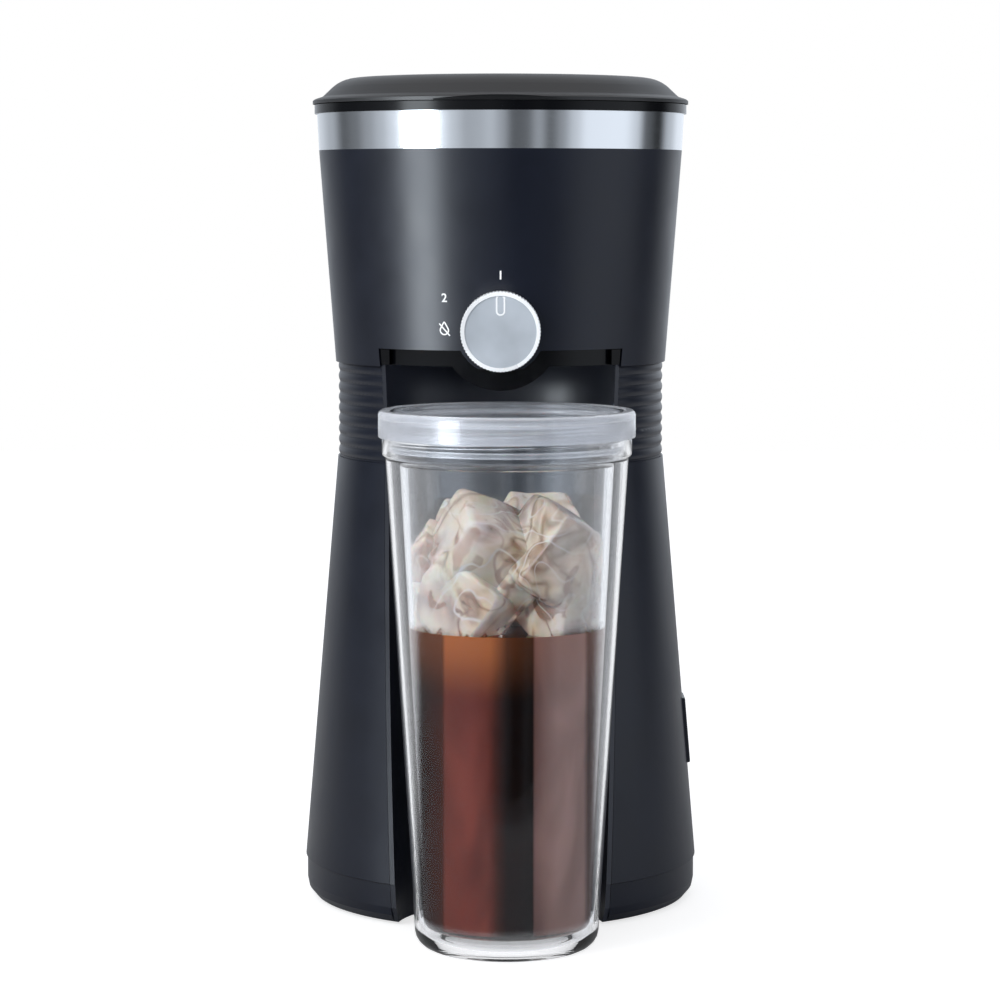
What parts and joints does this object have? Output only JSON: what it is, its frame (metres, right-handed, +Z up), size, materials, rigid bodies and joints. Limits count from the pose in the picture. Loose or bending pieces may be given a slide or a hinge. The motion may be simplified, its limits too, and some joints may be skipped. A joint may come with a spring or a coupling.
{
  "type": "iced coffee maker",
  "caption": "Tapered round iced coffee maker with a flip-up lid, brew-strength knob, rocker switch and a clear double-wall tumbler that slides into its front recess.",
  "frame": {"origin": "the machine's upright axis where it meets the counter, in the plane of the foot strip's underside", "axes": "+Z up, -Y towards the front with the knob and the tumbler, +X to the side with the rocker switch"},
  "size_m": [0.1564, 0.2249, 0.3249],
  "materials": {
    "foot": "matt",
    "body_black": "satin",
    "gloss_black": "gloss",
    "lid_black": "fine matt texture",
    "rocker_black": "satin",
    "basket_black": "satin",
    "inner_grey": "satin",
    "white_plastic": "satin",
    "nylon_mesh": "fine woven nylon",
    "silicone": "translucent silicone",
    "gland_rubber": "satin",
    "brushed_steel": "brushed round the band",
    "steel": "zinc plated",
    "element_steel": "heat-tinted",
    "thermostat_metal": "satin",
    "aluminium": "as drawn",
    "brass": "bright",
    "fuse_sleeve": "glass-fibre sleeve",
    "wire_cover": "satin",
    "knob_silver": "satin, knurled",
    "knob_grey": "satin",
    "clear_plastic": "clear"
  },
  "bodies": {
    "machine": {"foot_strip": "foot", "base_pan": "body_black", "base_screws": "steel", "lower_shell": "body_black", "recess_liner": "gloss_black", "rib_band": "body_black", "head_shell": "body_black", "steel_band": "brushed_steel", "rim_collar": "body_black", "hinge_pin": "steel", "top_deck": "inner_grey", "water_tank": "inner_grey", "tank_strainer": "inner_grey", "check_valve": "white_plastic", "basket_well": "inner_grey", "brew_basket": "basket_black", "filter_frame": "basket_black", "filter_mesh": "nylon_mesh", "spout_visor": "gloss_black", "valve_guide": "white_plastic", "knob_bushing": "white_plastic", "shaft_seal": "silicone", "inlet_hose": "silicone", "riser_hose": "silicone", "riser_port": "white_plastic", "water_tube": "aluminium", "heating_element": "element_steel", "heater_bracket": "steel", "heater_strap": "steel", "heater_screws": "steel", "thermostat": "thermostat_metal", "thermal_fuses": "fuse_sleeve", "switch_housing": "body_black", "switch_terminals": "brass", "wiring": "wire_cover", "cord_gland": "gland_rubber", "valve_spring": "steel"},
    "knob": {"knob_body": "knob_silver", "knob_face": "knob_grey", "knob_shaft": "steel", "knob_cam": "white_plastic"},
    "valve": {"valve_lifter": "white_plastic", "valve_stem": "white_plastic", "stem_clip": "steel", "valve_seal": "silicone"},
    "rocker": {"switch_rocker": "rocker_black"},
    "lid": {"lid_cover": "lid_black", "lid_inner": "inner_grey", "lid_seal": "silicone", "spray_disc": "white_plastic", "port_seal": "silicone", "lid_screws": "steel"},
    "tumbler": {"tumbler_shell": "clear_plastic", "tumbler_cup": "clear_plastic"}
  },
  "joints": [
    {"name": "lid_hinge", "type": "hinge", "parent": "machine", "child": "lid", "pos_m": [0, 0.0782, 0.3147], "axis": [-1, 0, 0], "range_deg": [0, 100]},
    {"name": "knob_turn", "type": "hinge", "parent": "machine", "child": "knob", "pos_m": [0, -0.075, 0.2285], "axis": [0, -1, 0], "range_deg": [0, 90]},
    {"name": "valve_lift", "type": "slide", "parent": "machine", "child": "valve", "axis": [0, 0, -1], "range_m": [0, 0.003], "deforming": ["valve_spring"]},
    {"name": "rocker_tilt", "type": "hinge", "parent": "machine", "child": "rocker", "pos_m": [0.06948, 0, 0.06582], "axis": [0, 1, 0], "range_deg": [0, 16]},
    {"name": "tumbler_slide", "type": "slide", "parent": "machine", "child": "tumbler", "axis": [0.0978, -0.9952, 0], "range_m": [-0.02351, 0.1]}
  ],
  "couplings": [
    {"joint": "valve_lift", "follows": "knob_turn", "m_per_rad": 0.0019099}
  ]
}
